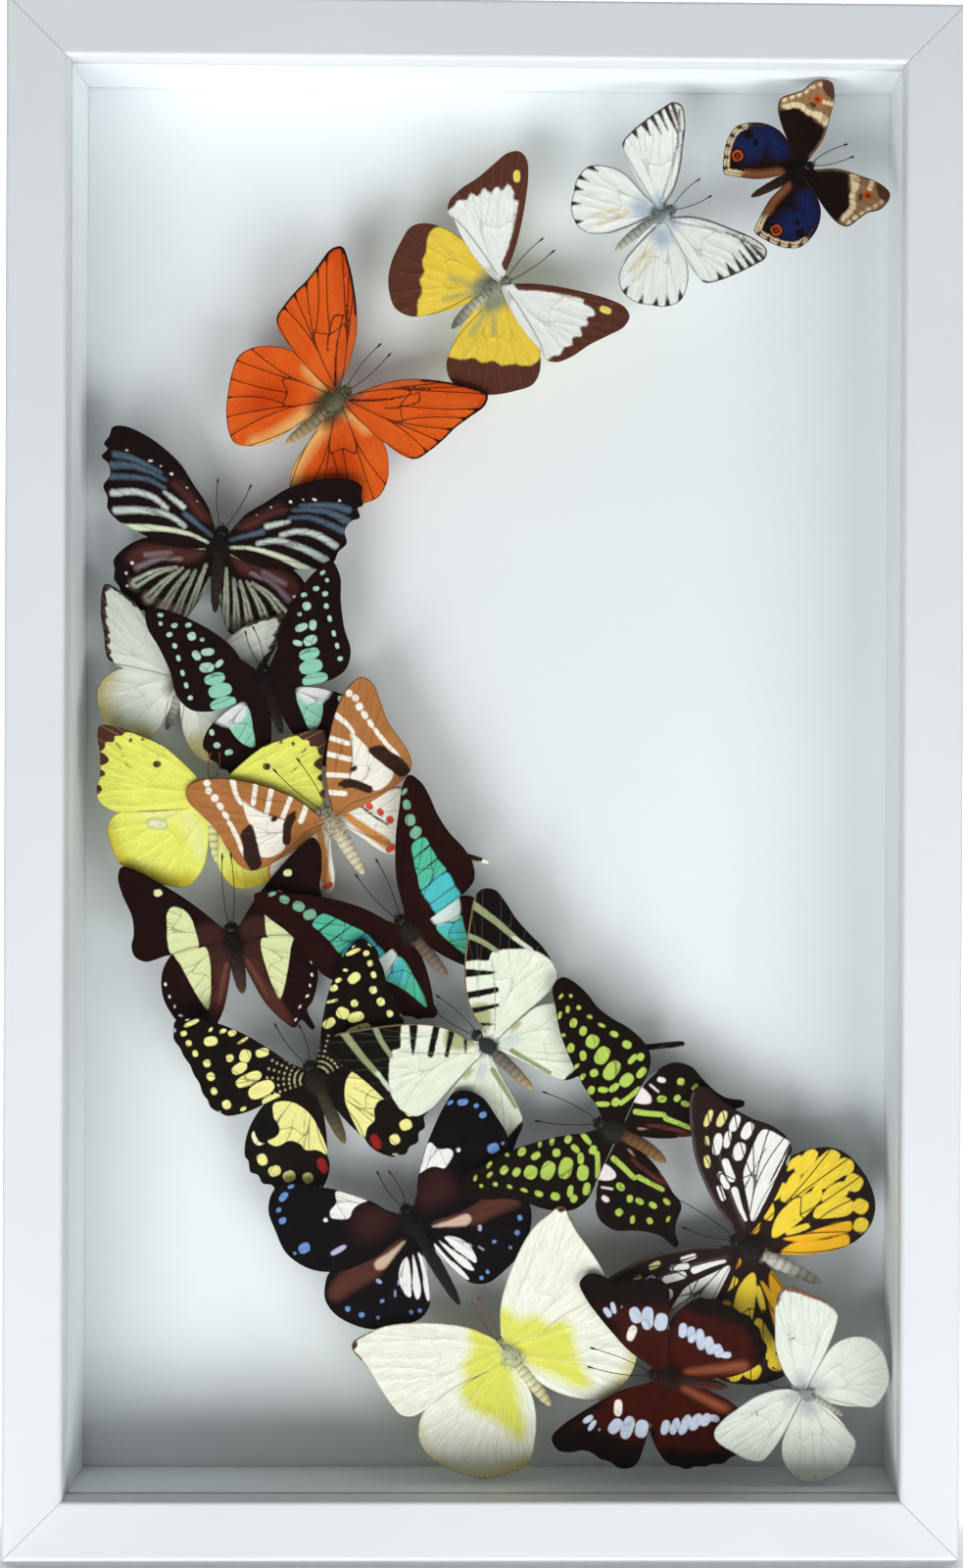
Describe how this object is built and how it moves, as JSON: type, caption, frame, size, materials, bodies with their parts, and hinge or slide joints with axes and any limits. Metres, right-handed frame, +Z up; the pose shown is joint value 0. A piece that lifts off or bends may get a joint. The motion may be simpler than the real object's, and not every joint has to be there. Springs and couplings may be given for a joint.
{
  "type": "butterfly shadow box",
  "caption": "Upright glazed wooden shadow box, painted white, with set butterflies pinned over a white backing board.",
  "frame": {"origin": "under the middle of the box, at the bottom of its lower rail and halfway through its depth", "axes": "+X to the right seen from the glass side, +Y from the glass to the back panel, +Z up"},
  "size_m": [0.35, 0.06, 0.57],
  "materials": {
    "frame_paint": "satin white paint on wood, faint brush marks and mitre lines, small scuffs",
    "pane": "clear float glass, faint green edge",
    "board": "white paper-faced foam board, matt",
    "hardboard": "brown hardboard, meshed face",
    "steel": "zinc-plated sheet steel",
    "dark_wings": "matt scaled wings, dark with coloured spots and bands",
    "brown_wings": "matt scaled wings, brown with pale marks",
    "pale_wings": "matt scaled wings, white with dark veins and tips",
    "yellow_wings": "matt scaled wings, yellow with dark edges",
    "orange_wings": "matt scaled wings, vermilion with dark veins"
  },
  "bodies": {
    "root": {"frame_top": "frame_paint", "frame_bottom": "frame_paint", "frame_left": "frame_paint", "frame_right": "frame_paint", "glass": "pane", "liner_top": "board", "liner_bottom": "board", "liner_left": "board", "liner_right": "board", "backing_board": "board", "back_panel": "hardboard", "sawtooth_hanger": "steel", "framer_point_top_1": "steel", "framer_point_top_2": "steel", "framer_point_bottom_1": "steel", "framer_point_bottom_2": "steel", "framer_point_left_1": "steel", "framer_point_left_2": "steel", "framer_point_right_1": "steel", "framer_point_right_2": "steel", "butterfly_pansy": "dark_wings", "butterfly_white_vein": "pale_wings", "butterfly_brown_yellow": "pale_wings", "butterfly_orange": "orange_wings", "butterfly_zebra": "dark_wings", "butterfly_white_under": "pale_wings", "butterfly_jay": "dark_wings", "butterfly_lemon_yellow": "yellow_wings", "butterfly_swordtail": "brown_wings", "butterfly_nawab": "dark_wings", "butterfly_bluebottle": "dark_wings", "butterfly_lime": "dark_wings", "butterfly_fivebar": "pale_wings", "butterfly_magpie": "dark_wings", "butterfly_tailed_jay": "dark_wings", "butterfly_tiger": "yellow_wings", "butterfly_pale_yellow": "yellow_wings", "butterfly_white_band": "brown_wings", "butterfly_small_white": "pale_wings"}
  },
  "joints": []
}
